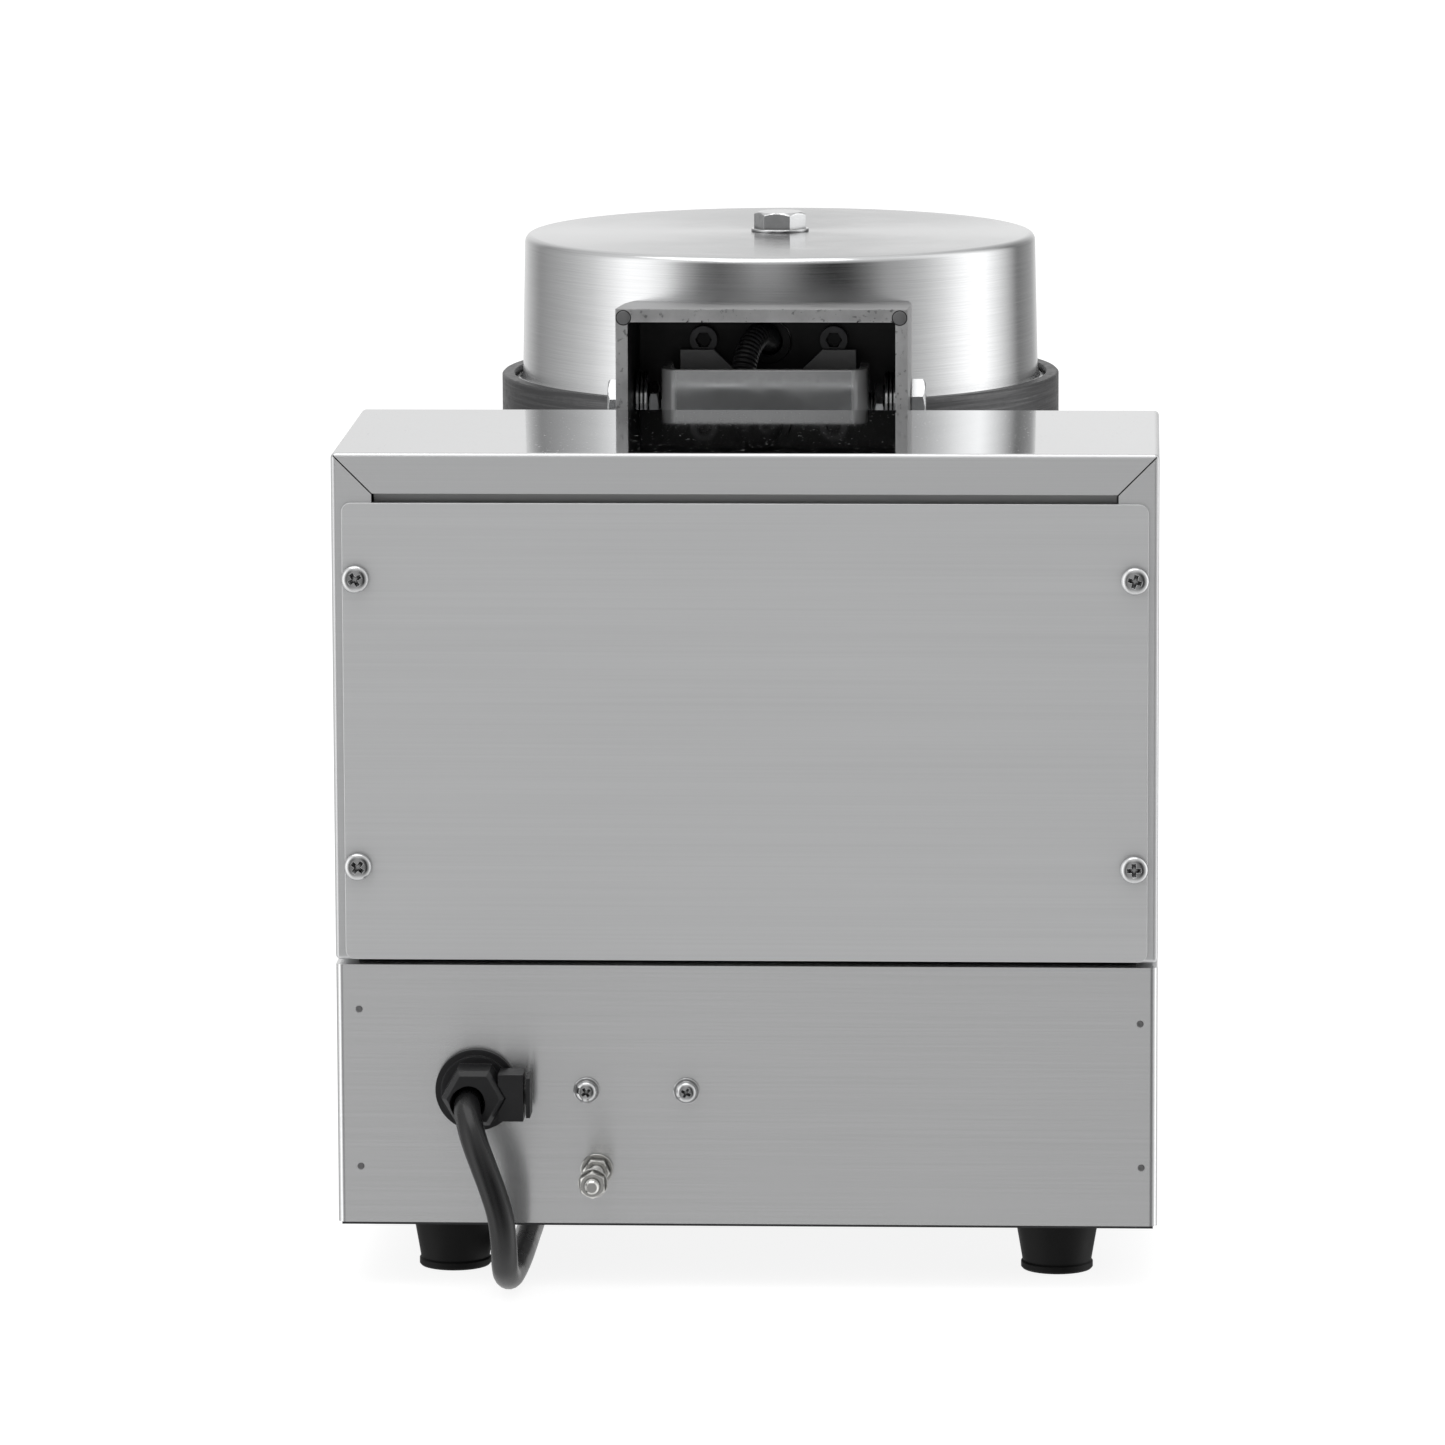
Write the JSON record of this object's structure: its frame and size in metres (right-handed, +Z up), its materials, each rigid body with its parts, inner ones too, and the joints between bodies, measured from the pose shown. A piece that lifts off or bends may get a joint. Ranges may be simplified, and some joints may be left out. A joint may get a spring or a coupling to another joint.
{
  "type": "donut maker",
  "caption": "Counter-top donut maker: hinged upper mould over a fixed lower mould, rear tower, slide-out drip tray and front controls.",
  "frame": {"origin": "centre of the bounding box on the plane the feet stand on, without the mains lead", "axes": "+Z up; the front with the controls faces -Y and the tower's rear face +Y; +X to the right seen from the front"},
  "size_m": [0.275, 0.5906, 0.3334],
  "materials": {
    "sheet_steel": "fine brushed stainless sheet",
    "panel_steel": "satin stainless sheet",
    "dark_steel": "black oxide sheet",
    "foot_rubber": "moulded rubber",
    "zinc_steel": "zinc plated steel",
    "stud_steel": "plated steel",
    "black_screw": "blackened steel",
    "terminal_ceramic": "glazed terminal block",
    "gland_plastic": "black nylon",
    "cord_rubber": "rubber sheath",
    "plug_rubber": "moulded rubber",
    "pin_metal": "nickel plated",
    "fascia": "satin black with dial marks",
    "switch_black": "black",
    "switch_red": "red",
    "lens_green": "green lens",
    "lens_amber": "amber lens",
    "knob_plastic": "black phenolic",
    "control_metal": "pressed control body",
    "tray_steel": "satin stainless sheet",
    "arm_steel": "stainless tube",
    "bracket_steel": "polished stainless",
    "mould_metal": "dark non-stick casting with turned rim",
    "heater_metal": "cast heater plate with sheathed element",
    "cover_steel": "spun stainless with turned brushing",
    "frame_black": "black paint on cast aluminium, milled edges bare",
    "notch_steel": "plain steel sheet",
    "conduit_black": "ribbed flexible conduit",
    "rod_steel": "bright steel",
    "grip_phenolic": "black phenolic"
  },
  "bodies": {
    "machine": {"base_shell": "sheet_steel", "tower_shell": "sheet_steel", "rear_panel": "panel_steel", "bottom_plate": "dark_steel", "feet": "foot_rubber", "tower_gasket": "foot_rubber", "arm_grommet": "foot_rubber", "foot_screws": "zinc_steel", "panel_screws": "zinc_steel", "tower_bolts": "zinc_steel", "terminal_screws": "zinc_steel", "arm_bolts": "zinc_steel", "lug_bolts": "zinc_steel", "bracket_screws": "zinc_steel", "hinge_bolts": "zinc_steel", "hinge_washers": "zinc_steel", "lower_bolt": "zinc_steel", "earth_stud": "stud_steel", "terminal_block": "terminal_ceramic", "gland_body": "gland_plastic", "gland_clamp": "gland_plastic", "gland_nut": "gland_plastic", "cord": "cord_rubber", "cord_coil": "cord_rubber", "cord_tail": "cord_rubber", "plug_body": "plug_rubber", "plug_pins": "pin_metal", "control_panel": "fascia", "switch_housing": "switch_black", "power_lamp": "lens_green", "heat_lamp": "lens_amber", "thermostat_body": "control_metal", "timer_body": "control_metal", "tray_rails": "tray_steel", "support_arm": "arm_steel", "hinge_bracket": "bracket_steel", "lower_mould": "mould_metal", "lower_heater": "heater_metal", "lower_cover": "cover_steel", "conduit": "conduit_black"},
    "lid": {"upper_mould": "mould_metal", "upper_heater": "heater_metal", "upper_cover": "cover_steel", "upper_bolt": "zinc_steel", "hinge_frame": "frame_black", "frame_screws": "black_screw", "notch_plate": "notch_steel", "conduit_nut": "zinc_steel", "handle_bracket": "frame_black", "handle_screws": "black_screw", "handle_rod": "rod_steel", "handle_grip": "grip_phenolic"},
    "drip_tray": {"drip_tray": "tray_steel"},
    "thermostat_knob": {"thermostat_knob": "knob_plastic"},
    "timer_knob": {"timer_knob": "knob_plastic"},
    "switch_rocker": {"switch_rocker": "switch_red"}
  },
  "joints": [
    {"name": "lid_hinge", "type": "hinge", "parent": "machine", "child": "lid", "pos_m": [0, 0.0765, 0.2775], "axis": [-1, 0, 0], "range_deg": [0, 85], "deforming": ["conduit"]},
    {"name": "tray_slide", "type": "slide", "parent": "machine", "child": "drip_tray", "axis": [0, -1, 0], "range_m": [0, 0.24]},
    {"name": "thermostat_dial", "type": "hinge", "parent": "machine", "child": "thermostat_knob", "pos_m": [0.012, -0.1495, 0.066], "axis": [0, 1, 0], "range_deg": [0, 270]},
    {"name": "timer_dial", "type": "hinge", "parent": "machine", "child": "timer_knob", "pos_m": [0.082, -0.1495, 0.066], "axis": [0, 1, 0], "range_deg": [0, 300]},
    {"name": "power_switch", "type": "hinge", "parent": "machine", "child": "switch_rocker", "pos_m": [-0.092, -0.1465, 0.066], "axis": [-1, 0, 0], "range_deg": [0, 16]}
  ]
}
